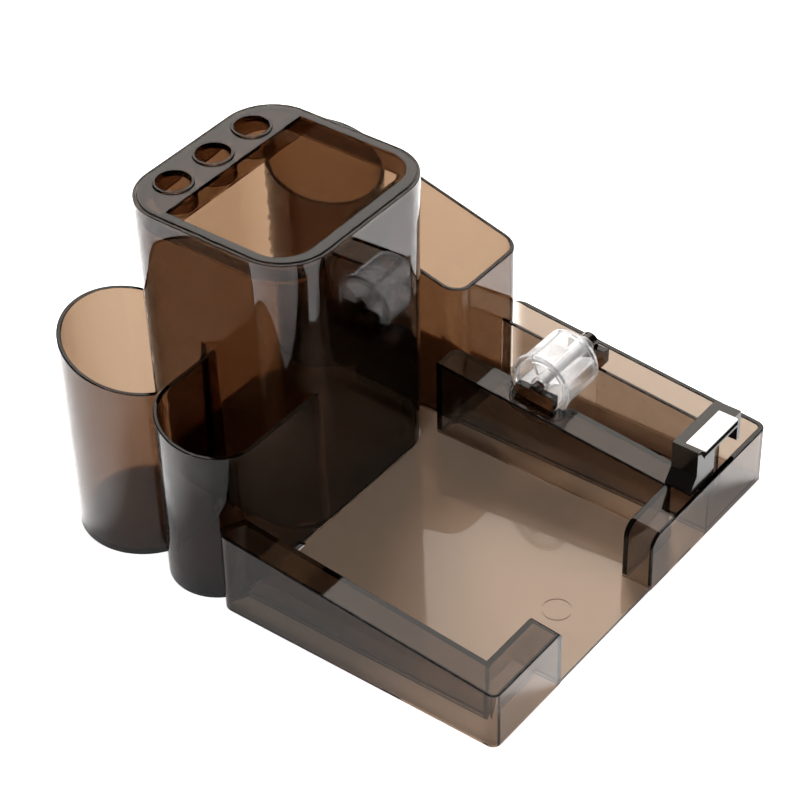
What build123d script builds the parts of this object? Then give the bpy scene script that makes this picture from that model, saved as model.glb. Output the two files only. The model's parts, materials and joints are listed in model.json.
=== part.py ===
from build123d import *
import math
import os

# Desk organizer: a memo tray with a tape channel in front, a square pen tower with
# four cups behind it.  Millimetres, +Z up.  The layout is drawn from the front left
# corner of the tray (X along the front edge, Y towards the tower), and every piece is
# then moved so that the origin is the middle of the footprint, on the table.

# ---------------------------------------------------------------- driving dimensions
# Memo tray
tray_width = 180.0
tray_depth = 124.0          # left side, front edge to back end
channel_depth = 118.0       # right side, front edge to back end
front_height = 24.8
back_height = 36.0
hollow_wall = 12.8          # a hollow wall, outer face to outer face
skin = 1.8                  # wall of the tray moulding
floor_lift = 0.4            # table to the underside of the floor
floor_thickness = 1.6
left_return = 40.5          # front wall left of the opening
right_block = 81.0          # front wall right of the opening
return_roll = 2.6           # rounding of the top end of the left return
block_roll = 6.0            # rounding of the top end of the right block
corner_front_left = 3.4
corner_front_right = 4.0
corner_back_right = 6.5
corner_back_left = 5.0
corner_inside = 1.6
top_round = 0.5             # broken edges along the tops
gate_radius = 5.8           # round mark on the tray floor
gate_x = 68.8
gate_y = 21.2
gate_groove = 0.4
gate_depth = 0.3

# Tape channel
outer_wall = 2.4
pen_slot = 11.2             # clear width of the slot beside the outer wall
divider = 1.8               # thin wall between the slot and the channel
channel_clear = 25.2        # clear width of the tape channel
relief_width = 15.6         # thinner part of the divider behind the core
relief_depth = 0.5
bracket_width = 9.0         # bracket that carries the far end of the axle
bracket_height = 6.0

# Tower
tower_width = 88.0
tower_depth = 86.0
tower_left = 43.3           # from the left side of the tray
tower_front = 117.2         # from the front of the tray
tower_height = 126.0        # table to the top of the lid
tower_corner = 20.5
tower_wall = 2.2
tower_floor = 2.0
draft = 1.0                 # degrees, walls close in towards the table
foot_round = 1.2
latch_slot_width = 6.0
latch_slot_height = 1.8
latch_slot_base = 3.6

# Lid
rim_wall = 1.2              # tower wall beside the lid
lid_plate = 2.4
lid_proud = 0.3             # lid top above the tower rim
lid_side_band = 5.0         # tower side face to the opening
lid_front_band = 6.2
strip_depth = 22.8          # tower back face to the opening
opening_corner = 13.5
skirt_depth = 9.0
skirt_wall = 1.6
pen_hole_radius = 6.7
pen_hole_pitch = 22.5
pen_hole_inset = 12.6       # tower back face to the hole centres
sleeve_wall = 1.3
lip_height = 0.6
nub_length = 5.0
nub_height = 1.4
nub_proud = 0.8

# Cups
cup_wall = 1.8
cup_floor = 2.0
cup_draft = 0.4             # degrees
rim_height = 64.8           # cup rim at the front face of the tower
rim_rise = 15.1             # degrees, rims climb towards the back
rim_round = 0.5
left_rear_radius = 27.2
left_rear_out = 17.7        # tower side face to the cup's axis
left_rear_back = 64.2       # tower front face to the cup's axis
left_front_radius = 20.2
left_front_out = 25.1
left_front_back = 21.8
right_rear_radius = 24.6
right_rear_out = 24.0
right_rear_back = 76.2
pocket_gap = 3.5            # tower side face to the pocket
pocket_inset = 1.6          # pocket to the right side of the tray
pocket_ahead = 4.0          # pocket front before the tower front
pocket_depth = 55.6
pocket_corner_left = 9.0
pocket_corner_right = 8.0
pocket_corner_back = 4.0
web_thickness = 2.0         # web that ties the pocket to the tower
web_inset = 23.0            # pocket front to the web
web_drop = 3.0              # web top below the pocket rim

# Tape core and axle
axle_y = 76.0
axle_z = 37.3
axle_radius = 2.2
axle_inset = 6.8            # outer end of the axle inside the channel wall
axle_length = 38.8
bar_length = 17.4
bar_height = 8.2
bar_thickness = 3.4
bar_top = 0.4               # flat top of an end bar below the axis
bar_round = 3.0
core_length = 21.8
core_radius = 12.5
core_wall = 1.2
core_flange_radius = 13.4
core_flange = 1.5
core_rim_step = 1.0         # ring inside each end of the barrel
hub_wall = 1.6
web_count = 4
web_angle = 68.0            # degrees, first web of the core above the horizontal
core_web = 1.2

# Cutter
cutter_inset = 4.6          # near face to the tray side of the hollow wall
cutter_width = 30.2
cutter_depth = 11.2
cutter_front = 1.9
cutter_top = 43.4
cutter_block = 12.2         # width of the block that sits over the hollow wall
cutter_wall = 1.8
cutter_back_bar = 4.1
cutter_near_bar = 2.3
cutter_far_bar = 4.4
cutter_plate = 1.6
far_cheek = 2.0
far_cheek_drop = 13.0       # far cheek below the top
foot_flare = 4.0
foot_rise = 7.2
clip_drop = 9.0
blade_thickness = 0.6
blade_reach = 0.7           # blade body in front of the holder
tooth = 0.9
tooth_count = 24
lip_drop = 3.0
lip_reach = 1.5
cutter_round = 0.4

# Clearances
joint_gap = 0.15            # between mouldings that are fixed together
lid_gap = 0.25              # lid in the tower rim
running_gap = 0.08          # axle in the core, radial
press_gap = 0.02            # end bar on the axle, radial
seat_gap = 0.3              # parts that lift out, sideways and under
flange_gap = 0.9            # core flange in its recess


# ---------------------------------------------------------------- places worked out
def top_height(y):
    """Height of the sloping tray top at a distance from the front."""
    return front_height + (back_height - front_height) * y / tray_depth


def rim_at(y):
    """Height of the sloping cup rims at a distance from the front."""
    return rim_height + math.tan(math.radians(rim_rise)) * (y - tower_front)


reach = tray_width + tray_depth + tower_depth + tower_height  # beyond every face
block_left = tray_width - right_block
floor_top = floor_lift + floor_thickness
slot_right = tray_width - outer_wall
slot_left = slot_right - pen_slot
channel_right = slot_left - divider
channel_left = channel_right - channel_clear
inner_wall_left = channel_left - hollow_wall
tower_right = tower_left + tower_width
tower_back = tower_front + tower_depth
tower_rim = tower_height - lid_proud
left_rear_x = tower_left - left_rear_out
left_rear_y = tower_front + left_rear_back
left_front_x = tower_left - left_front_out
left_front_y = tower_front + left_front_back
right_rear_x = tower_right + right_rear_out
right_rear_y = tower_front + right_rear_back
pocket_left = tower_right + pocket_gap
pocket_right = tray_width - pocket_inset
pocket_front = tower_front - pocket_ahead
pocket_back = pocket_front + pocket_depth
floor_back = pocket_front + web_inset - joint_gap  # floor round the foot of the tower
tower_lean = math.tan(math.radians(draft))
cup_lean = math.tan(math.radians(cup_draft))
cup_top = rim_at(tower_back) + left_rear_radius
near_bar_left = channel_left - axle_inset
far_bar_left = near_bar_left + axle_length - bar_thickness
core_left = near_bar_left + bar_thickness + seat_gap
bar_top_z = axle_z - bar_top
bar_foot_z = bar_top_z - bar_height
cutter_left = inner_wall_left + cutter_inset
cutter_right = cutter_left + cutter_width
cutter_back = cutter_front + cutter_depth


# ---------------------------------------------------------------- drawing helpers
def box(x0, x1, y0, y1, z0, z1):
    """Box between two corners."""
    return Pos(x0, y0, z0) * Box(x1 - x0, y1 - y0, z1 - z0, align=(Align.MIN,) * 3)


def plan(x0, x1, y0, y1, front_left=0.0, front_right=0.0, back_right=0.0, back_left=0.0):
    """Plan rectangle with a radius of its own at each corner."""
    sketch = Pos((x0 + x1) / 2, (y0 + y1) / 2) * Rectangle(x1 - x0, y1 - y0)
    wanted = (((x0, y0), front_left), ((x1, y0), front_right),
              ((x1, y1), back_right), ((x0, y1), back_left))
    for (x, y), radius in wanted:
        if radius > 0:
            sketch = fillet(sketch.vertices().sort_by_distance((x, y, 0))[0], radius)
    return sketch


def upright(sketch, z0, z1):
    """Straight prism on a plan sketch."""
    return Pos(0, 0, z0) * extrude(sketch, z1 - z0)


def drafted(profile, lean, z0, z1, full_height):
    """Loft of profile(inset) between two heights; inset grows towards the table."""
    low = Pos(0, 0, z0) * profile((full_height - z0) * lean)
    high = Pos(0, 0, z1) * profile((full_height - z1) * lean)
    return loft([low, high], ruled=True)


def below_slope(height_of, drop=0.0):
    """Everything below a plane that rises from front to back."""
    side = Polyline((-reach, -reach), (reach, -reach), (reach, height_of(reach) - drop),
                    (-reach, height_of(-reach) - drop), close=True)
    return extrude(Plane.YZ * make_face(side), reach, both=True)


def along_x(sketch, x0, x1):
    """Prism along X on a sketch drawn as (Y, Z)."""
    return Pos(x0, 0, 0) * extrude(Plane.YZ * sketch, x1 - x0)


def round_bar(x0, x1, radius):
    """Cylinder on the axle's axis."""
    return along_x(Pos(axle_y, axle_z) * Circle(radius), x0, x1)


def top_edges(shape, height_of, low=0.0):
    """Edges that lie in a sloping top from a given distance behind the front."""
    def in_top(edge):
        places = [edge @ share for share in (0, 0.5, 1)]
        return all(abs(p.Z - height_of(p.Y)) < 0.01 and p.Y >= low - 0.01 for p in places)
    return shape.edges().filter_by(in_top)


# ---------------------------------------------------------------- outer shapes
def tower_profile(inset):
    """Plan of the tower's outside, moved in by inset."""
    radius = tower_corner - inset
    return plan(tower_left + inset, tower_right - inset, tower_front + inset,
                tower_back - inset, radius, radius, radius, radius)


def left_rear_profile(inset):
    return Pos(left_rear_x, left_rear_y) * Circle(left_rear_radius - inset)


def right_rear_profile(inset):
    return Pos(right_rear_x, right_rear_y) * Circle(right_rear_radius - inset)


def left_front_profile(inset):
    """Half round left end, straight walls that run on behind the tower face."""
    radius = left_front_radius - inset
    square = corner_inside
    return plan(left_front_x - radius, tower_left + tower_corner + radius - inset,
                left_front_y - radius, left_front_y + radius,
                radius * 0.999, square, square, radius * 0.999)


def pocket_profile(inset):
    return plan(pocket_left + inset, pocket_right - inset, pocket_front + inset,
                pocket_back - inset, pocket_corner_left - inset,
                pocket_corner_right - inset, pocket_corner_back - inset,
                pocket_corner_back - inset)


def tower_body(inset, z0):
    """Tower outline between a height and its rim, moved in by inset."""
    return drafted(lambda shift: tower_profile(inset + shift), tower_lean, z0, tower_rim,
                   tower_rim)


def cup_body(profile, inset, z0):
    """Cup outline above a height, moved in by inset."""
    return drafted(lambda shift: profile(inset + shift), cup_lean, z0, cup_top, cup_top)


def open_cup(profile):
    """Cup with a floor, cut along the sloping rim line."""
    outside = cup_body(profile, 0, 0) & below_slope(rim_at)
    return outside - cup_body(profile, cup_wall, cup_floor)


# ---------------------------------------------------------------- memo tray
def left_wall(inset):
    """Left hollow wall and front return; with inset, the space inside them."""
    side = plan(inset, hollow_wall - inset, inset, tray_depth - inset,
                corner_front_left - inset, 0, 0, corner_back_left - inset)
    front = plan(inset, left_return - inset, inset, hollow_wall - inset,
                 corner_front_left - inset)
    solid = upright(side + front, -1 if inset else 0, reach) & below_slope(top_height, inset)
    end = solid.edges().sort_by_distance((left_return - inset, hollow_wall / 2, front_height))
    return fillet(end[0], return_roll - inset)


def right_wall(inset):
    """Right front block and channel wall; with inset, the space inside them."""
    front = plan(block_left + inset, channel_left - inset, inset, hollow_wall - inset)
    side = plan(inner_wall_left + inset, channel_left - inset, inset,
                channel_depth - inset)
    solid = upright(side + front, -1 if inset else 0, reach) & below_slope(top_height, inset)
    end = solid.edges().sort_by_distance((block_left + inset, hollow_wall / 2, front_height))
    return fillet(end[0], block_roll - inset)


def thin_walls():
    """Front wall of the channel, outer wall and divider."""
    around = plan(channel_left - skin, tray_width, 0, channel_depth,
                  0, corner_front_right, corner_back_right)
    room = plan(channel_left - skin * 2, slot_right, outer_wall, channel_depth * 2,
                0, corner_inside)
    middle = plan(channel_right, slot_left, hollow_wall, channel_depth)
    return upright(around - room + middle, 0, reach) & below_slope(top_height)


def recess(grow):
    """Room for the near end bar and the core flange in the channel wall."""
    half = bar_length / 2 + seat_gap + grow
    foot = bar_foot_z - seat_gap - grow
    bar = plan(axle_y - half, axle_y + half, foot, foot + back_height,
               bar_round + grow, bar_round + grow)
    start = near_bar_left - seat_gap - grow
    flange_start = near_bar_left + bar_thickness - grow
    round_part = round_bar(flange_start, channel_left + 1, core_flange_radius + flange_gap + grow)
    return along_x(bar, start, channel_left + 1) + round_part


def neighbours(grow):
    """Room that the tower, the left front cup and the pocket take beside the tray."""
    return (tower_body(-grow, 0) + cup_body(left_front_profile, -grow, 0)
            + cup_body(pocket_profile, -grow, 0))


def base_tray():
    walls = left_wall(0) + right_wall(0) + thin_walls()
    walls = fillet(top_edges(walls, top_height), top_round)
    inside = (left_wall(skin) + right_wall(skin)) - recess(skin) - neighbours(joint_gap + skin)
    floor = upright(plan(0, tray_width, 0, channel_depth, corner_front_left,
                         corner_front_right, corner_back_right), floor_lift, floor_top)
    floor += upright(plan(tower_left, channel_left, 0, floor_back), floor_lift, floor_top)
    mark = Pos(gate_x, gate_y) * (Circle(gate_radius) - Circle(gate_radius - gate_groove))
    relief = box(channel_right - 1, channel_right + relief_depth, axle_y - relief_width / 2,
                 axle_y + relief_width / 2, floor_top, reach)
    bracket = box(slot_left - divider / 2, far_bar_left + bar_thickness,
                  axle_y - bracket_width / 2, axle_y + bracket_width / 2,
                  bar_foot_z - seat_gap - bracket_height, bar_foot_z - seat_gap)
    underside = bracket.edges().sort_by_distance(
        (far_bar_left + bar_thickness, axle_y, bar_foot_z - seat_gap - bracket_height))[0]
    bracket = chamfer(underside, bracket_height * 0.7)
    tray = walls + floor - inside - recess(0) - relief + bracket
    tray -= upright(mark, floor_top - gate_depth, floor_top + 1)
    return tray - neighbours(joint_gap)


# ---------------------------------------------------------------- tower and lid
def pen_tower():
    outside = tower_body(0, 0)
    outside = fillet(outside.edges().group_by(Axis.Z)[0], foot_round)
    rebate = upright(tower_profile(rim_wall), tower_height - lid_plate - lid_gap, reach)
    body = outside - tower_body(tower_wall, tower_floor) - rebate
    corner = tower_rim * tower_lean + tower_corner * (1 - math.sqrt(0.5))
    slot = Rot(0, 0, 45) * Box(tower_wall * 4, latch_slot_width, latch_slot_height)
    body -= Pos(tower_left + corner, tower_front + corner, latch_slot_base) * slot
    rim = body.edges().group_by(Axis.Z)[-1]
    return fillet(rim, rim_wall * 0.3)


def lid_opening(inset):
    """Plan of the big opening, moved in by inset."""
    radius = opening_corner - inset
    return plan(tower_left + lid_side_band + inset, tower_right - lid_side_band - inset,
                tower_front + lid_front_band + inset, tower_back - strip_depth - inset,
                radius, radius)


def tower_lid():
    inset = rim_wall + lid_gap
    under = tower_height - lid_plate
    plate = upright(tower_profile(inset), under, tower_height)
    plate = fillet(plate.edges().group_by(Axis.Z)[-1], top_round)
    outer = tower_profile(tower_wall + tower_lean * skirt_depth + lid_gap)
    inner = tower_profile(tower_wall + tower_lean * skirt_depth + lid_gap + skirt_wall)
    skirt = upright(outer - inner, tower_height - skirt_depth, under)
    edge = upright(lid_opening(-skirt_wall) - lid_opening(0), tower_height - skirt_depth, under)
    edge &= upright(outer, 0, reach)
    lid = plate + skirt + edge
    middle = (tower_left + tower_right) / 2
    row = tower_back - pen_hole_inset
    centres = [Pos(middle + step * pen_hole_pitch, row) for step in (-1, 0, 1)]
    for centre in centres:
        ring = centre * Circle(pen_hole_radius + sleeve_wall)
        lid += upright(ring, tower_height - skirt_depth, tower_height + lip_height)
    lid -= upright(lid_opening(0), 0, reach)
    for centre in centres:
        lid -= upright(centre * Circle(pen_hole_radius), 0, reach)
    nub_y = (tower_front + tower_back) / 2
    for side, x in ((1, tower_right), (-1, tower_left)):
        reach_in = tower_wall + tower_lean * skirt_depth + lid_gap
        nub = Pos(x - side * (reach_in + skirt_wall), nub_y, tower_height - skirt_depth * 0.6)
        lid += nub * Box(nub_proud * 2, nub_length, nub_height)
    crown = [e for e in lid.edges().filter_by(GeomType.CIRCLE)
             if abs((e @ 0).Z - tower_height - lip_height) < 0.01]
    return fillet(crown, sleeve_wall * 0.3)


# ---------------------------------------------------------------- cups
def left_front_cup():
    cup = open_cup(left_front_profile)
    cup = fillet(top_edges(cup, rim_at), rim_round)
    return cup - tower_body(-joint_gap, 0)


def left_rear_cup():
    cup = open_cup(left_rear_profile)
    cup = fillet(top_edges(cup, rim_at), rim_round)
    return cup - tower_body(-joint_gap, 0) - cup_body(left_front_profile, -joint_gap, 0)


def right_rear_cup():
    cup = open_cup(right_rear_profile)
    cup = fillet(top_edges(cup, rim_at), rim_round)
    return cup - tower_body(-joint_gap, 0) - cup_body(pocket_profile, -joint_gap, 0)


def right_front_pocket():
    cup = open_cup(pocket_profile)
    cup = fillet(top_edges(cup, rim_at), rim_round)
    start = pocket_front + web_inset
    web = box(tower_right - tower_wall, pocket_left + cup_wall, start, start + web_thickness,
              0, rim_at(start) - web_drop)
    web -= cup_body(pocket_profile, cup_wall, 0)
    return cup + web - tower_body(-joint_gap, 0)


# ---------------------------------------------------------------- tape core and axle
def tape_core():
    barrel = round_bar(core_left, core_left + core_length, core_radius)
    flange = round_bar(core_left, core_left + core_flange, core_flange_radius)
    flange = chamfer(flange.edges().filter_by(GeomType.CIRCLE), core_flange * 0.25)
    bore = core_radius - core_wall
    hollow = (round_bar(core_left - 1, core_left + core_length + 1, bore - core_rim_step)
              + round_bar(core_left + core_flange, core_left + core_length - core_flange, bore))
    hub_end = far_bar_left - seat_gap
    hub_radius = axle_radius + running_gap + hub_wall
    webs = Sketch()
    for index in range(web_count):
        angle = web_angle + index * 360 / web_count
        webs += Rot(0, 0, angle) * Pos(bore / 2, 0) * Rectangle(bore, core_web)
    webs = along_x(Pos(axle_y, axle_z) * webs, core_left + core_rim_step,
                   core_left + core_length - core_rim_step)
    core = barrel + flange - hollow + webs + round_bar(core_left, hub_end, hub_radius)
    return core - round_bar(core_left - 1, hub_end + 1, axle_radius + running_gap)


def end_bar(x0):
    """Flat topped bar on one end of the axle."""
    half = bar_length / 2
    face = plan(axle_y - half, axle_y + half, bar_foot_z, bar_top_z, bar_round, bar_round)
    bar = along_x(face, x0, x0 + bar_thickness)
    return fillet(bar.edges().group_by(Axis.Z)[-1], cutter_round)


def tape_axle():
    return end_bar(near_bar_left) + round_bar(near_bar_left, near_bar_left + axle_length,
                                              axle_radius)


def axle_end():
    eye = round_bar(far_bar_left, far_bar_left + bar_thickness, axle_radius + hub_wall)
    bore = round_bar(far_bar_left - 1, far_bar_left + bar_thickness + 1,
                     axle_radius + press_gap)
    return end_bar(far_bar_left) + eye - bore


# ---------------------------------------------------------------- cutter
def cutter_holder():
    under = cutter_top - blade_thickness - joint_gap - cutter_plate
    frame = box(cutter_left, cutter_right, cutter_front, cutter_back, under, cutter_top)
    block_right = cutter_left + cutter_block
    block = box(cutter_left, block_right, cutter_front, cutter_back,
                front_height, under + cutter_plate)
    cheek = box(cutter_right - far_cheek, cutter_right, cutter_front, cutter_back,
                cutter_top - far_cheek_drop, cutter_top)
    low_back = cheek.edges().sort_by_distance(
        (cutter_right, cutter_back, cutter_top - far_cheek_drop))
    cheek = chamfer([e for e in low_back[:4] if abs((e % 0.5).X) > 0.9], far_cheek_drop * 0.5)
    outline = Polyline((cutter_left, front_height), (cutter_left - foot_flare, front_height),
                       (cutter_left - foot_flare, front_height + cutter_wall),
                       (cutter_left, front_height + foot_rise), close=True)
    foot = Pos(0, cutter_back, 0) * extrude(Plane.XZ * make_face(outline), cutter_depth)
    lip_back = cutter_front + cutter_wall
    lip = Polyline((cutter_front, under + cutter_plate), (lip_back, under + cutter_plate),
                   (lip_back, under), (cutter_front, under),
                   (cutter_front - lip_reach, under + cutter_plate - lip_drop),
                   (cutter_front - lip_reach, under + cutter_plate - lip_drop + 1),
                   close=True)
    lip = along_x(make_face(lip), cutter_left + cutter_near_bar, cutter_right - cutter_far_bar)
    holder = frame + block + cheek + foot + lip
    bed = box(cutter_left + cutter_near_bar, cutter_right - cutter_far_bar,
              cutter_front - 1, cutter_back - cutter_back_bar,
              cutter_top - blade_thickness - joint_gap, reach)
    hollow_top = under - cutter_wall
    hollow = box(cutter_left + cutter_wall, block_right - cutter_wall,
                 cutter_front + cutter_wall, cutter_back - cutter_wall, 0, hollow_top)
    wall_top = upright(plan(-reach, channel_left + joint_gap, -reach, reach), -reach, reach)
    wall_top &= below_slope(top_height, -joint_gap)
    front_wall = upright(plan(-reach, reach, -reach, outer_wall + joint_gap), -reach, reach)
    front_wall &= below_slope(top_height, -joint_gap)
    leg = box(channel_left + joint_gap, block_right, outer_wall + joint_gap, cutter_back,
              front_height - clip_drop, front_height + 1)
    holder = holder + leg - bed - hollow - wall_top - front_wall
    return holder


def cutter_blade():
    x0 = cutter_left + cutter_near_bar + joint_gap
    x1 = cutter_right - cutter_far_bar - joint_gap
    back = cutter_back - cutter_back_bar - joint_gap
    front = cutter_front - blade_reach
    step = (x1 - x0) / tooth_count
    points = [(x0, back), (x0, front)]
    for index in range(tooth_count):
        points += [(x0 + (index + 0.5) * step, front - tooth), (x0 + (index + 1) * step, front)]
    points.append((x1, back))
    face = make_face(Polyline(*points, close=True))
    base = cutter_top - blade_thickness
    return upright(face, base - joint_gap / 2, base - joint_gap / 2 + blade_thickness)


# ---------------------------------------------------------------- pieces
pieces = {
    "base_tray": base_tray(),
    "pen_tower": pen_tower(),
    "tower_lid": tower_lid(),
    "left_front_cup": left_front_cup(),
    "left_rear_cup": left_rear_cup(),
    "right_front_pocket": right_front_pocket(),
    "right_rear_cup": right_rear_cup(),
    "tape_core": tape_core(),
    "tape_axle": tape_axle(),
    "axle_end": axle_end(),
    "cutter_holder": cutter_holder(),
    "cutter_blade": cutter_blade(),
}

boxes = [piece.bounding_box() for piece in pieces.values()]
middle_x = (min(b.min.X for b in boxes) + max(b.max.X for b in boxes)) / 2
middle_y = (min(b.min.Y for b in boxes) + max(b.max.Y for b in boxes)) / 2
to_origin = Pos(-middle_x, -middle_y, -min(b.min.Z for b in boxes))

os.makedirs("parts", exist_ok=True)
for name, piece in pieces.items():
    export_step(to_origin * piece, f"parts/{name}.step")
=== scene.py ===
"""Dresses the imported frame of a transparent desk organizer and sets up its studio.

Each solid is stood for by a smooth copy of itself, so nothing is added to its form.
"""

import json
import math

import bpy
from mathutils import Matrix, Vector

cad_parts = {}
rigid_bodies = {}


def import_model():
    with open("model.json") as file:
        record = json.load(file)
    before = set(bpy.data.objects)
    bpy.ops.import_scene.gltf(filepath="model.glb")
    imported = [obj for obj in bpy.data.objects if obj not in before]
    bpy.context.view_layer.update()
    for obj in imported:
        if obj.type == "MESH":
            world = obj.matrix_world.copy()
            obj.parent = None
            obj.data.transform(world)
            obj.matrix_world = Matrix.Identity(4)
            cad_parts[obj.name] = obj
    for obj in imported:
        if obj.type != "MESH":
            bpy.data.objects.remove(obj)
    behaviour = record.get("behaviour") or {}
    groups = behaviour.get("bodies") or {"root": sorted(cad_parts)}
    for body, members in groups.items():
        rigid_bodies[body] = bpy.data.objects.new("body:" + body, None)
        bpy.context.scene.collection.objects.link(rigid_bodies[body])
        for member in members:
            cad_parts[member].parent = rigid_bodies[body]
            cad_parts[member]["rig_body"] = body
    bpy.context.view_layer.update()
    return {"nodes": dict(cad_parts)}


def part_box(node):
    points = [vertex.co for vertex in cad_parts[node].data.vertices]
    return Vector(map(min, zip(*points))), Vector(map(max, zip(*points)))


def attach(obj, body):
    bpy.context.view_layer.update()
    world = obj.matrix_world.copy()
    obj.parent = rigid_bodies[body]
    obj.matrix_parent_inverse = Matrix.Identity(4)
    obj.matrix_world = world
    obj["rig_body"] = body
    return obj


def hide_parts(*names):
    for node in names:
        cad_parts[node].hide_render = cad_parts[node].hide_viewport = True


bl_info = {
    "name": "Smoky Desk Organizer",
    "version": (1, 0, 0),
    "blender": (4, 5, 0),
    "location": "View3D > Sidebar > Organizer",
    "description": "Dresses a transparent desk organizer: tower, cups, memo tray and tape channel",
    "category": "Object",
}

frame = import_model()
tray_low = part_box("base_tray")[0]

# ---------------------------------------------------------------- fixed values
WELD_DISTANCE = 1e-6  # corners nearer than this are one
SMOOTH_ANGLE = math.radians(32.0)  # faces that meet at less than this are shaded as one
LEVEL_COSINE = 0.99999  # between the normals of triangles in one flat face

FLOOR_SIZE = 9.0
FLOOR_DROP = 0.0002  # keeps the table clear of the undersides

# Where each lamp stands, in degrees and metres
WINDOW = {"elevation": 42.0, "distance": 2.2, "size": (2.4, 1.8)}
KEY = {"elevation": 40.0, "distance": 2.1, "size": (0.8, 0.8)}
OVERHEAD = {"azimuth": -60.0, "elevation": 80.0, "distance": 2.0, "size": (0.22, 0.22)}
OVERHEAD_POWER = 6.0
POWER_PER_RADIANCE = 4.0  # watts for each square metre of an area lamp

SENSOR_WIDTH = 36.0
NEAR_CLIP, FAR_CLIP = 0.05, 20.0
# A look through the tower and a cup crosses many surfaces, and each counts as a bounce
LIGHT_BOUNCES = {
    "max_bounces": 32,
    "transmission_bounces": 32,
    "glossy_bounces": 12,
    "transparent_max_bounces": 64,
}


# ---------------------------------------------------------------- settings
class ORGANIZER_PG_plastics(bpy.types.PropertyGroup):
    """Colours and surfaces of the moulded plastics."""

    smoke_tint: bpy.props.FloatVectorProperty(
        name="Smoke tint", description="Colour that the smoky plastic lets through",
        subtype="COLOR", size=3, min=0.0, max=1.0, default=(0.50, 0.34, 0.17))
    smoke_density: bpy.props.FloatProperty(
        name="Smoke density", description="How fast the tower and cups take up light, per metre",
        default=1250.0, min=0.0)
    # The tray is the same smoky plastic as the tower; its paler tint and thinner density are
    # painted light, lighter to stand in for light on the table seen through the tray
    tray_lightened_tint: bpy.props.FloatVectorProperty(
        name="Tray tint", description="Colour that the tray's plastic lets through",
        subtype="COLOR", size=3, min=0.0, max=1.0, default=(0.48, 0.36, 0.24))
    tray_lightened_density: bpy.props.FloatProperty(
        name="Tray density", description="How fast the tray takes up light, per metre",
        default=780.0, min=0.0)
    smoke_polish: bpy.props.FloatProperty(
        name="Smoke roughness", description="Roughness of the polished smoky walls",
        default=0.015, min=0.0, max=1.0, subtype="FACTOR")
    clear_polish: bpy.props.FloatProperty(
        name="Clear roughness", description="Roughness of the clear tape core",
        default=0.02, min=0.0, max=1.0, subtype="FACTOR")
    plastic_index: bpy.props.FloatProperty(
        name="Refractive index", description="Refractive index of the plastics",
        default=1.49, min=1.0, max=3.0)
    black_tint: bpy.props.FloatVectorProperty(
        name="Dark plastic", description="Colour of the cutter's holder",
        subtype="COLOR", size=3, min=0.0, max=1.0, default=(0.012, 0.010, 0.008))
    steel_tint: bpy.props.FloatVectorProperty(
        name="Blade steel", description="Colour of the cutter's blade",
        subtype="COLOR", size=3, min=0.0, max=1.0, default=(0.86, 0.86, 0.85))


class ORGANIZER_PG_studio(bpy.types.PropertyGroup):
    """Camera, lamps and floor."""

    camera_azimuth: bpy.props.FloatProperty(
        name="Camera azimuth", description="Turn of the camera round the object",
        default=math.radians(-52.14), subtype="ANGLE")
    camera_elevation: bpy.props.FloatProperty(
        name="Camera elevation", description="Height of the camera above the horizon",
        default=math.radians(39.04), subtype="ANGLE")
    camera_roll: bpy.props.FloatProperty(
        name="Camera roll", description="Tilt of the camera about its own axis",
        default=math.radians(-1.45), subtype="ANGLE")
    camera_place: bpy.props.FloatVectorProperty(
        name="Camera place", description="Camera, from the tray's front left corner",
        default=(-0.5121, -0.3602, 0.6642), size=3, subtype="TRANSLATION")
    camera_lens: bpy.props.FloatProperty(
        name="Lens", description="Focal length on a 36 mm sensor, in millimetres",
        default=117.56, min=1.0)
    floor_colour: bpy.props.FloatVectorProperty(
        name="Floor", description="Colour of the table",
        subtype="COLOR", size=3, min=0.0, max=1.0, default=(0.86, 0.86, 0.86))
    floor_lift: bpy.props.FloatProperty(
        name="Floor lift", description="White that the floor adds where it is seen",
        default=0.88, min=0.0)
    mirror_share: bpy.props.FloatProperty(
        name="Mirror share", description="Part of that white that mirrored views keep",
        default=0.5, min=0.0, max=1.0, subtype="FACTOR")
    world_level: bpy.props.FloatProperty(
        name="World level", description="Strength of the pale surroundings",
        default=0.06, min=0.0)
    window_level: bpy.props.FloatProperty(
        name="Window level", description="Radiance of the wide panel that level faces mirror",
        default=1.55, min=0.0)
    window_colour: bpy.props.FloatVectorProperty(
        name="Window colour", description="Warmth of that panel",
        subtype="COLOR", size=3, min=0.0, max=1.0, default=(1.0, 0.94, 0.88))
    key_power: bpy.props.FloatProperty(
        name="Key power", description="Power of the soft lamp behind the tower",
        default=130.0, min=0.0)


# ---------------------------------------------------------------- materials
class Maths:
    """A socket that can be used in sums; each sum adds a Math node."""

    def __init__(self, finish, socket):
        self.finish = finish
        self.socket = socket

    def _sum(self, operation, first, second):
        made = self.finish.node("ShaderNodeMath", {"operation": operation},
                                {0: first, 1: second})
        return Maths(self.finish, made.outputs[0])

    def __add__(self, other):
        return self._sum("ADD", self, other)

    __radd__ = __add__

    def __sub__(self, other):
        return self._sum("SUBTRACT", self, other)

    def __rsub__(self, other):
        return self._sum("SUBTRACT", other, self)

    def __mul__(self, other):
        return self._sum("MULTIPLY", self, other)

    __rmul__ = __mul__


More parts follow.
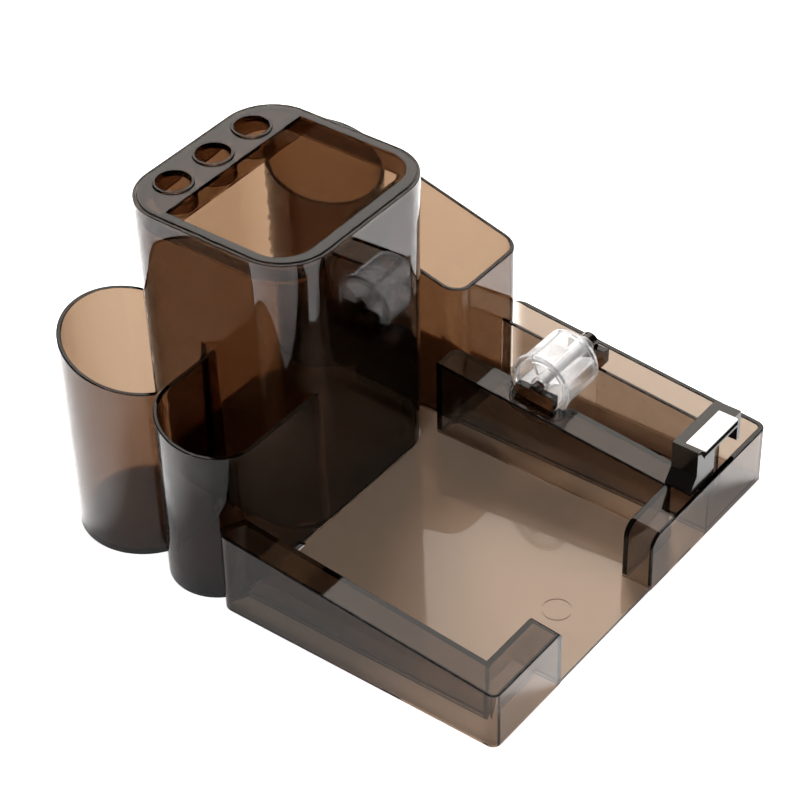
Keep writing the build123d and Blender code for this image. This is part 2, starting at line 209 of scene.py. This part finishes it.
class Finish:
    """One material and the ways to add nodes to it."""

    def __init__(self, name):
        self.material = bpy.data.materials.new(name)
        self.material.use_nodes = True
        self.tree = self.material.node_tree
        self.tree.nodes.clear()

    def node(self, kind, settings=None, inputs=None):
        """A node of that type; an input takes a value or the socket that feeds it."""
        made = self.tree.nodes.new(kind)
        for key, value in (settings or {}).items():
            setattr(made, key, value)
        for key, value in (inputs or {}).items():
            if isinstance(value, Maths):
                value = value.socket
            if isinstance(value, bpy.types.NodeSocket):
                self.tree.links.new(value, made.inputs[key])
            else:
                made.inputs[key].default_value = value
        return made

    def noise(self, scale, detail, stretch=(1.0, 1.0, 1.0)):
        """Noise on Object coordinates, as a value that can be used in sums."""
        place = self.node("ShaderNodeTexCoord").outputs["Object"]
        turned = self.node("ShaderNodeMapping", None, {"Vector": place, "Scale": stretch})
        made = self.node("ShaderNodeTexNoise", None, {
            "Scale": scale, "Detail": detail, "Vector": turned.outputs[0]})
        return Maths(self, made.outputs[0])

    def bump(self, height, strength, distance):
        made = self.node("ShaderNodeBump", None,
                         {"Height": height, "Strength": strength, "Distance": distance})
        return made.outputs[0]

    def output(self, surface, volume=None):
        links = {"Surface": surface.outputs[0]}
        if volume is not None:
            links["Volume"] = volume.outputs[0]
        self.node("ShaderNodeOutputMaterial", None, links)
        return self.material


def see_through(name, index, polish, ripple, shadow, absorb=None, clarity=1.0):
    """Polished transparent plastic; lamps shine straight through it, dimmed by its depth.

    absorb is the colour that it lets through and how fast it takes up the rest.
    """
    finish = Finish(name)
    flow = finish.noise(scale=14.0, detail=2.0, stretch=(1.0, 1.0, 0.45))
    wear = finish.noise(scale=160.0, detail=4.0)
    body = finish.node("ShaderNodeBsdfPrincipled", None, {
        "Base Color": (1.0, 1.0, 1.0, 1.0),
        "Roughness": polish + wear * polish,
        "IOR": index,
        "Transmission Weight": clarity,
        "Normal": finish.bump(flow, strength=ripple, distance=0.002),
    })
    light = finish.node("ShaderNodeLightPath")
    sheet = finish.node("ShaderNodeBsdfTransparent", None, {"Color": (*shadow, 1.0)})
    mixed = finish.node("ShaderNodeMixShader", None, {
        "Fac": light.outputs["Is Shadow Ray"], 1: body.outputs[0], 2: sheet.outputs[0]})
    volume = None
    if absorb is not None:
        tint, density = absorb
        # Both stay plain values: the export drops linked ones
        volume = finish.node("ShaderNodeVolumeAbsorption", None,
                             {"Color": (*tint, 1.0), "Density": density})
    return finish.output(mixed, volume)


def smoky_plastic(name, plastics):
    return see_through(
        name, plastics.plastic_index, plastics.smoke_polish, ripple=0.02,
        shadow=(1.0, 1.0, 1.0), absorb=(tuple(plastics.smoke_tint), plastics.smoke_density))


# Painted light: a paler copy of the smoky plastic, standing in for light on the table under the
# tray
def lightened_tray_plastic(name, plastics):
    return see_through(
        name, plastics.plastic_index, plastics.smoke_polish, ripple=0.02,
        shadow=(1.0, 1.0, 1.0), absorb=(tuple(plastics.tray_lightened_tint), plastics.tray_lightened_density))


def clear_plastic(name, plastics):
    """Clear plastic with a slight white haze, a painted reflection that stands in for the core's
    bright reflections.
    """
    return see_through(
        name, plastics.plastic_index, plastics.clear_polish, ripple=0.03,
        shadow=(0.95, 0.95, 0.95), clarity=0.88)


def dark_plastic(name, plastics):
    """Glossy moulding with fine handling marks."""
    finish = Finish(name)
    flow = finish.noise(scale=90.0, detail=3.0)
    wear = finish.noise(scale=900.0, detail=4.0)
    gloss, marks = 0.10, 0.12
    body = finish.node("ShaderNodeBsdfPrincipled", None, {
        "Base Color": (*plastics.black_tint, 1.0),
        "Roughness": gloss + wear * marks,
        "IOR": plastics.plastic_index,
        "Normal": finish.bump(flow, strength=0.06, distance=0.001),
    })
    return finish.output(body)


def blade_steel(name, plastics):
    """Steel with a fine grain along the blade's edge."""
    finish = Finish(name)
    grain = finish.noise(scale=60.0, detail=6.0, stretch=(1.0, 60.0, 1.0))
    gloss, scratches = 0.22, 0.16
    body = finish.node("ShaderNodeBsdfPrincipled", None, {
        "Base Color": (*plastics.steel_tint, 1.0),
        "Metallic": 1.0,
        "Roughness": gloss + grain * scratches,
        "Normal": finish.bump(grain, strength=0.10, distance=0.0004),
    })
    return finish.output(body)


def table_white(studio):
    """Pale table that is seen as white and keeps the object's shadow."""
    finish = Finish("table_white")
    paper = finish.noise(scale=3.0, detail=2.0)
    gloss, unevenness = 0.45, 0.1
    body = finish.node("ShaderNodeBsdfPrincipled", None, {
        "Base Color": (*studio.floor_colour, 1.0),
        "Roughness": gloss + paper * unevenness,
        "Specular IOR Level": 0.2,
    })
    path = finish.node("ShaderNodeLightPath")
    # A ray that has gone through the plastic is marked glossy as well
    mirrored = (Maths(finish, path.outputs["Is Glossy Ray"])
                * (1.0 - Maths(finish, path.outputs["Is Transmission Ray"])))
    seen = Maths(finish, path.outputs["Is Camera Ray"]) + mirrored * studio.mirror_share
    glow = finish.node("ShaderNodeEmission", None, {
        "Color": (1.0, 1.0, 1.0, 1.0), "Strength": seen * studio.floor_lift})
    both = finish.node("ShaderNodeAddShader", None, {0: body.outputs[0], 1: glow.outputs[0]})
    return finish.output(both)


# The frame has materials of its own, so these have other names than its slots
finishes = {
    "smoky_acrylic": smoky_plastic,
    "tray_acrylic_lightened": lightened_tray_plastic,
    "clear_acrylic": clear_plastic,
    "dark_plastic": dark_plastic,
    "bright_steel": blade_steel,
}


def finish_for(name, context):
    """The finish of that name, made when it is first asked for."""
    made = bpy.data.materials.get(name)
    return made or finishes[name](name, context.scene.organizer_plastics)


# ---------------------------------------------------------------- pieces
def flat_areas(faces):
    """Group number of each triangle, and the size of each group of level neighbours."""
    beside = {}
    for face in faces:
        for edge in face.edge_keys:
            beside.setdefault(edge, []).append(face.index)
    group, sizes = [-1] * len(faces), []
    for first in faces:
        if group[first.index] >= 0:
            continue
        group[first.index], size, waiting = len(sizes), 0.0, [first.index]
        while waiting:
            face = faces[waiting.pop()]
            size += face.area
            for edge in face.edge_keys:
                for other in beside[edge]:
                    level = first.normal.dot(faces[other].normal) > LEVEL_COSINE
                    if group[other] < 0 and level:
                        group[other] = len(sizes)
                        waiting.append(other)
        sizes.append(size)
    return group, sizes


def corner_normals(mesh, sharp_angle):
    """Normals that keep large flat faces flat and round off the narrow facets beside them."""
    faces = mesh.polygons
    group, sizes = flat_areas(faces)
    around = [{} for _ in mesh.vertices]
    for face in faces:
        for corner in face.vertices:
            around[corner][group[face.index]] = face.normal.copy()
    limit = math.cos(sharp_angle)
    normals = []
    for face in faces:
        for corner in face.vertices:
            total = Vector()
            for number, normal in around[corner].items():
                if face.normal.dot(normal) > limit:
                    total += normal * sizes[number] ** 2
            normals.append(total.normalized())
    return normals


def dress(name, node, material):
    """Smooth copy of a solid, with its triangles joined, that stands for it."""
    solid = frame["nodes"][node]
    piece = solid.copy()
    piece.data = solid.data.copy()
    piece.name = name
    piece.data.name = name
    # The frame's marks on its solids don't belong on the copy
    for key in list(piece.keys()):
        del piece[key]
    piece.parent = None
    bpy.context.scene.collection.objects.link(piece)
    bpy.ops.object.select_all(action="DESELECT")
    piece.select_set(True)
    bpy.context.view_layer.objects.active = piece
    bpy.ops.object.mode_set(mode="EDIT")
    bpy.ops.mesh.select_all(action="SELECT")
    bpy.ops.mesh.remove_doubles(threshold=WELD_DISTANCE)
    bpy.ops.object.mode_set(mode="OBJECT")
    bpy.ops.object.shade_smooth_by_angle(angle=SMOOTH_ANGLE)
    piece.data.normals_split_custom_set(corner_normals(piece.data, SMOOTH_ANGLE))
    for each in (piece, solid):
        each.data.materials.clear()
        each.data.materials.append(material)
    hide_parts(node)
    body = solid["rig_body"]
    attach(piece, body)


class ORGANIZER_OT_tray(bpy.types.Operator):
    """Memo tray with its hollow walls and tape channel"""

    bl_idname = "organizer.tray"
    bl_label = "Memo tray"
    bl_options = {"REGISTER", "UNDO"}

    def execute(self, context):
        dress("memo_tray", "base_tray", finish_for("tray_acrylic_lightened", context))
        return {"FINISHED"}


class ORGANIZER_OT_tower(bpy.types.Operator):
    """Square pen tower and its lift-off lid"""

    bl_idname = "organizer.tower"
    bl_label = "Pen tower and lid"
    bl_options = {"REGISTER", "UNDO"}

    def execute(self, context):
        smoky = finish_for("smoky_acrylic", context)
        dress("tower_shell", "pen_tower", smoky)
        dress("tower_lid_shell", "tower_lid", smoky)
        return {"FINISHED"}


class ORGANIZER_OT_cups(bpy.types.Operator):
    """Two cups on the left, a square pocket and a round cup on the right"""

    bl_idname = "organizer.cups"
    bl_label = "Cups"
    bl_options = {"REGISTER", "UNDO"}

    def execute(self, context):
        smoky = finish_for("smoky_acrylic", context)
        for node in ("left_front_cup", "left_rear_cup", "right_front_pocket",
                     "right_rear_cup"):
            dress(node + "_shell", node, smoky)
        return {"FINISHED"}


class ORGANIZER_OT_core(bpy.types.Operator):
    """Clear tape core on its smoky axle"""

    bl_idname = "organizer.core"
    bl_label = "Tape core and axle"
    bl_options = {"REGISTER", "UNDO"}

    def execute(self, context):
        smoky = finish_for("smoky_acrylic", context)
        dress("clear_core", "tape_core", finish_for("clear_acrylic", context))
        dress("axle_shaft", "tape_axle", smoky)
        dress("axle_end_bar", "axle_end", smoky)
        return {"FINISHED"}


class ORGANIZER_OT_cutter(bpy.types.Operator):
    """Tape cutter: dark holder and toothed steel blade"""

    bl_idname = "organizer.cutter"
    bl_label = "Cutter"
    bl_options = {"REGISTER", "UNDO"}

    def execute(self, context):
        dark = finish_for("dark_plastic", context)
        dress("cutter_bridge", "cutter_holder", dark)
        steel = finish_for("bright_steel", context)
        dress("toothed_blade", "cutter_blade", steel)
        return {"FINISHED"}


# ---------------------------------------------------------------- studio
def towards(azimuth, elevation):
    """Direction away from the object; azimuth 0 is its front and 90 degrees its right."""
    level = math.cos(elevation)
    return Vector((math.sin(azimuth) * level, -math.cos(azimuth) * level,
                   math.sin(elevation)))


class ORGANIZER_OT_studio(bpy.types.Operator):
    """Floor, soft lamps and the camera at the photograph's angle"""

    bl_idname = "organizer.studio"
    bl_label = "Studio"
    bl_options = {"REGISTER", "UNDO"}

    def floor(self, studio):
        bpy.ops.object.select_all(action="DESELECT")
        bpy.ops.mesh.primitive_plane_add(size=FLOOR_SIZE, location=(0.0, 0.0, -FLOOR_DROP))
        floor = bpy.context.active_object
        floor.name = "table"
        floor.data.materials.append(table_white(studio))
        bpy.ops.object.transform_apply(location=True, rotation=True, scale=True)

    def world(self, studio):
        world = bpy.data.worlds.new("pale_room")
        bpy.context.scene.world = world
        world.use_nodes = True
        ground = world.node_tree.nodes["Background"]
        ground.inputs["Color"].default_value = (1.0, 1.0, 1.0, 1.0)
        ground.inputs["Strength"].default_value = studio.world_level

    def soft_lamp(self, name, power, azimuth, elevation, distance, size):
        """Rectangular lamp that faces the object."""
        away = towards(math.radians(azimuth), math.radians(elevation))
        data = bpy.data.lights.new(name, "AREA")
        data.shape = "RECTANGLE"
        data.size, data.size_y = size
        data.energy = power
        lamp = bpy.data.objects.new(name, data)
        bpy.context.scene.collection.objects.link(lamp)
        lamp.location = away * distance
        lamp.rotation_euler = away.to_track_quat("Z", "Y").to_euler()
        return lamp

    def lamps(self, studio):
        """A panel for the level faces to mirror, a lamp behind the tower and one overhead."""
        behind = 180.0 + math.degrees(studio.camera_azimuth)
        width, height = WINDOW["size"]
        power = studio.window_level * width * height * POWER_PER_RADIANCE
        window = self.soft_lamp("window", power, behind, **WINDOW)
        window.data.color = studio.window_colour
        key = self.soft_lamp("key", studio.key_power, behind, **KEY)
        key.visible_glossy = False
        key.visible_transmission = False
        self.soft_lamp("overhead", OVERHEAD_POWER, **OVERHEAD)

    def camera(self, studio):
        a, r = studio.camera_azimuth, studio.camera_roll
        back = towards(a, studio.camera_elevation)
        level = Vector((math.cos(a), math.sin(a), 0.0))
        upward = back.cross(level)
        right = level * math.cos(r) + upward * math.sin(r)
        up = upward * math.cos(r) - level * math.sin(r)
        data = bpy.data.cameras.new("photo_view")
        data.sensor_width = SENSOR_WIDTH
        data.lens = studio.camera_lens
        data.clip_start, data.clip_end = NEAR_CLIP, FAR_CLIP
        camera = bpy.data.objects.new("photo_view", data)
        bpy.context.scene.collection.objects.link(camera)
        turned = Matrix((right, up, back)).transposed().to_4x4()
        corner = Vector((tray_low.x, tray_low.y, 0.0))
        camera.matrix_world = Matrix.Translation(
            corner + Vector(studio.camera_place)) @ turned
        bpy.context.scene.camera = camera

    def execute(self, context):
        studio = context.scene.organizer_studio
        self.floor(studio)
        self.world(studio)
        self.lamps(studio)
        self.camera(studio)
        scene = context.scene
        scene.view_settings.view_transform = "Standard"
        for name, count in LIGHT_BOUNCES.items():
            setattr(scene.cycles, name, count)
        return {"FINISHED"}


# ---------------------------------------------------------------- add-on
class ORGANIZER_PT_panel(bpy.types.Panel):
    """The organizer's pieces and settings"""

    bl_idname = "ORGANIZER_PT_panel"
    bl_label = "Desk organizer"
    bl_space_type = "VIEW_3D"
    bl_region_type = "UI"
    bl_category = "Organizer"

    def draw(self, context):
        layout = self.layout
        for operator in operators:
            layout.operator(operator.bl_idname)
        for settings in (context.scene.organizer_plastics, context.scene.organizer_studio):
            box = layout.box()
            for name in settings.__annotations__:
                box.prop(settings, name)


operators = (
    ORGANIZER_OT_tray,
    ORGANIZER_OT_tower,
    ORGANIZER_OT_cups,
    ORGANIZER_OT_core,
    ORGANIZER_OT_cutter,
    ORGANIZER_OT_studio,
)
classes = (ORGANIZER_PG_plastics, ORGANIZER_PG_studio, *operators, ORGANIZER_PT_panel)


def register():
    for each in classes:
        bpy.utils.register_class(each)
    bpy.types.Scene.organizer_plastics = bpy.props.PointerProperty(type=ORGANIZER_PG_plastics)
    bpy.types.Scene.organizer_studio = bpy.props.PointerProperty(type=ORGANIZER_PG_studio)


def unregister():
    del bpy.types.Scene.organizer_studio
    del bpy.types.Scene.organizer_plastics
    for each in reversed(classes):
        bpy.utils.unregister_class(each)


def main():
    register()
    bpy.ops.organizer.tray()
    bpy.ops.organizer.tower()
    bpy.ops.organizer.cups()
    bpy.ops.organizer.core()
    bpy.ops.organizer.cutter()
    bpy.ops.organizer.studio()


if __name__ == "__main__":
    main()
